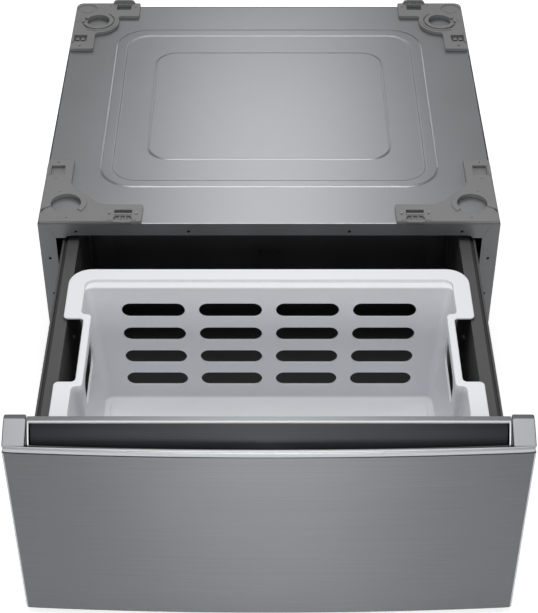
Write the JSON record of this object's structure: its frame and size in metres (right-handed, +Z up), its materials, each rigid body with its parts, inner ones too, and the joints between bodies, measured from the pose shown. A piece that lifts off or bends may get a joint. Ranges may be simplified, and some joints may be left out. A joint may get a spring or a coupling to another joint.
{
  "type": "laundry pedestal with storage drawer",
  "caption": "Low steel pedestal that a front load washer stands on, with corner retainers on top, a bowed steel drawer front, telescopic slides and a white slotted basket",
  "frame": {"origin": "on the floor, at the middle of the four levelling feet", "axes": "+X right seen from the front, +Y to the back, +Z up; the drawer opens along -Y and is drawn open"},
  "size_m": [0.686, 1.0844, 0.373],
  "materials": {
    "cabinet_paint": "satin grey powder coat on sheet steel",
    "zinc_steel": "zinc plated steel, dull",
    "cage_steel": "yellow chromate steel",
    "foot_steel": "black coated steel",
    "retainer_plastic": "moulded dark grey plastic, fine grain",
    "drawer_paint": "dark grey satin paint on sheet steel",
    "front_steel": "stainless steel with a horizontal brushed grain",
    "core_steel": "grey galvanised steel",
    "trim_silver": "satin silver plastic",
    "pocket_dark": "dark metallic plastic with a horizontal grain",
    "bezel_bright": "bright satin metal edge",
    "bumper_rubber": "soft black rubber",
    "basket_white": "white moulded plastic, fine grain"
  },
  "bodies": {
    "cabinet": {"top_pan": "cabinet_paint", "side_panel_left": "cabinet_paint", "side_panel_right": "cabinet_paint", "rear_panel": "cabinet_paint", "base_pan": "cabinet_paint", "front_top_rail": "cabinet_paint", "front_bottom_rail": "cabinet_paint", "corner_gusset_left": "zinc_steel", "corner_gusset_right": "zinc_steel", "retainer_front_left": "retainer_plastic", "retainer_front_right": "retainer_plastic", "retainer_rear_left": "retainer_plastic", "retainer_rear_right": "retainer_plastic", "retainer_screws": "zinc_steel", "cabinet_screws": "zinc_steel", "foot_nuts": "zinc_steel", "lock_nuts": "zinc_steel", "slide_bracket_left": "zinc_steel", "slide_bracket_right": "zinc_steel", "slide_outer_left": "zinc_steel", "slide_outer_right": "zinc_steel"},
    "outer_cages": {"ball_cage_outer_left": "cage_steel", "ball_cage_outer_right": "cage_steel"},
    "slide_middles": {"slide_middle_left": "zinc_steel", "slide_middle_right": "zinc_steel"},
    "inner_cages": {"ball_cage_inner_left": "cage_steel", "ball_cage_inner_right": "cage_steel"},
    "drawer": {"slide_inner_left": "zinc_steel", "slide_inner_right": "zinc_steel", "drawer_side_left": "drawer_paint", "drawer_side_right": "drawer_paint", "drawer_rear_wall": "drawer_paint", "drawer_front_wall": "drawer_paint", "drawer_floor": "drawer_paint", "rear_catch": "drawer_paint", "drawer_screws": "zinc_steel", "front_core": "core_steel", "front_skin": "front_steel", "handle_trim": "trim_silver", "handle_pocket": "pocket_dark", "handle_bezel": "bezel_bright", "end_cap_left": "trim_silver", "end_cap_right": "trim_silver", "front_bumpers": "bumper_rubber", "basket": "basket_white"},
    "foot_front_left": {"foot_front_left": "foot_steel"},
    "foot_front_right": {"foot_front_right": "foot_steel"},
    "foot_rear_left": {"foot_rear_left": "foot_steel"},
    "foot_rear_right": {"foot_rear_right": "foot_steel"}
  },
  "joints": [
    {"name": "drawer_slide", "type": "slide", "parent": "cabinet", "child": "drawer", "axis": [0, -1, 0], "range_m": [-0.387, 0]},
    {"name": "outer_cage_roll", "type": "slide", "parent": "cabinet", "child": "outer_cages", "axis": [0, -1, 0], "range_m": [-0.09675, 0]},
    {"name": "middle_slide", "type": "slide", "parent": "cabinet", "child": "slide_middles", "axis": [0, -1, 0], "range_m": [-0.1935, 0]},
    {"name": "inner_cage_roll", "type": "slide", "parent": "cabinet", "child": "inner_cages", "axis": [0, -1, 0], "range_m": [-0.29025, 0]},
    {"name": "foot_front_left_screw", "type": "slide", "parent": "cabinet", "child": "foot_front_left", "axis": [0, 0, -1], "range_m": [0, 0.012]},
    {"name": "foot_front_right_screw", "type": "slide", "parent": "cabinet", "child": "foot_front_right", "axis": [0, 0, -1], "range_m": [0, 0.012]},
    {"name": "foot_rear_left_screw", "type": "slide", "parent": "cabinet", "child": "foot_rear_left", "axis": [0, 0, -1], "range_m": [0, 0.012]},
    {"name": "foot_rear_right_screw", "type": "slide", "parent": "cabinet", "child": "foot_rear_right", "axis": [0, 0, -1], "range_m": [0, 0.012]}
  ],
  "couplings": [
    {"joint": "outer_cage_roll", "follows": "drawer_slide", "ratio": 0.25},
    {"joint": "middle_slide", "follows": "drawer_slide", "ratio": 0.5},
    {"joint": "inner_cage_roll", "follows": "drawer_slide", "ratio": 0.75}
  ]
}
